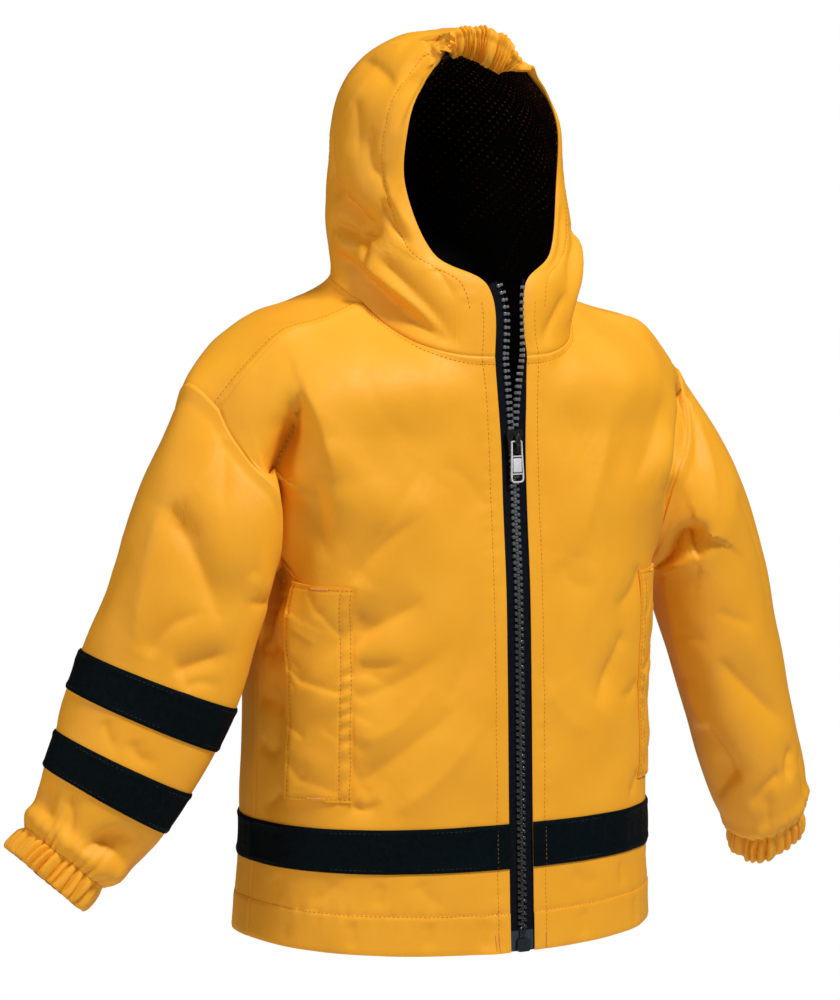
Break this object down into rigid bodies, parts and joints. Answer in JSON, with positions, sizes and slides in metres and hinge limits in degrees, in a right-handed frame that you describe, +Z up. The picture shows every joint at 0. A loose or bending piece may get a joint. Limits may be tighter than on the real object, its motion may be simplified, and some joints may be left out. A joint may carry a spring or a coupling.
{
  "type": "hooded raincoat",
  "caption": "Child's hooded raincoat in worn, hollow form, with a front zip partly open at the neck, side-entry pockets, elastic cuffs and navy tapes round the hem and a sleeve.",
  "frame": {"origin": "middle of the neck base at shoulder height, where the wearer's shoulders hold the coat up", "axes": "+Z up, the wearer faces -Y, +X to the wearer's left"},
  "size_m": [0.5866, 0.2003, 0.5686],
  "materials": {
    "coated_cloth": "satin coated cloth",
    "navy_tape": "woven tape",
    "black_mesh": "open mesh lining",
    "zip_tape": "woven zip tape with moulded teeth",
    "moulded_teeth": "moulded plastic",
    "dark_metal": "dark enamel",
    "bright_metal": "polished zinc"
  },
  "bodies": {
    "garment": {"front_right": "coated_cloth", "front_left": "coated_cloth", "back": "coated_cloth", "sleeve_right": "coated_cloth", "sleeve_left": "coated_cloth", "cuff_right": "coated_cloth", "cuff_left": "coated_cloth", "hood_right": "coated_cloth", "hood_left": "coated_cloth", "hood_casing": "coated_cloth", "pocket_right": "coated_cloth", "pocket_left": "coated_cloth", "hem_band_right": "navy_tape", "hem_band_left": "navy_tape", "hem_band_back": "navy_tape", "sleeve_band_upper": "navy_tape", "sleeve_band_lower": "navy_tape", "hood_lining": "black_mesh", "yoke_lining": "black_mesh", "zip_tape_right": "zip_tape", "zip_tape_left": "zip_tape", "zip_box": "moulded_teeth", "zip_slider": "dark_metal"},
    "pull": {"zip_pull": "bright_metal"}
  },
  "joints": [
    {"name": "pull_hinge", "type": "hinge", "parent": "garment", "child": "pull", "pos_m": [0, -0.08162, -0.07732], "axis": [-1, 0, 0], "range_deg": [0, 170]}
  ]
}
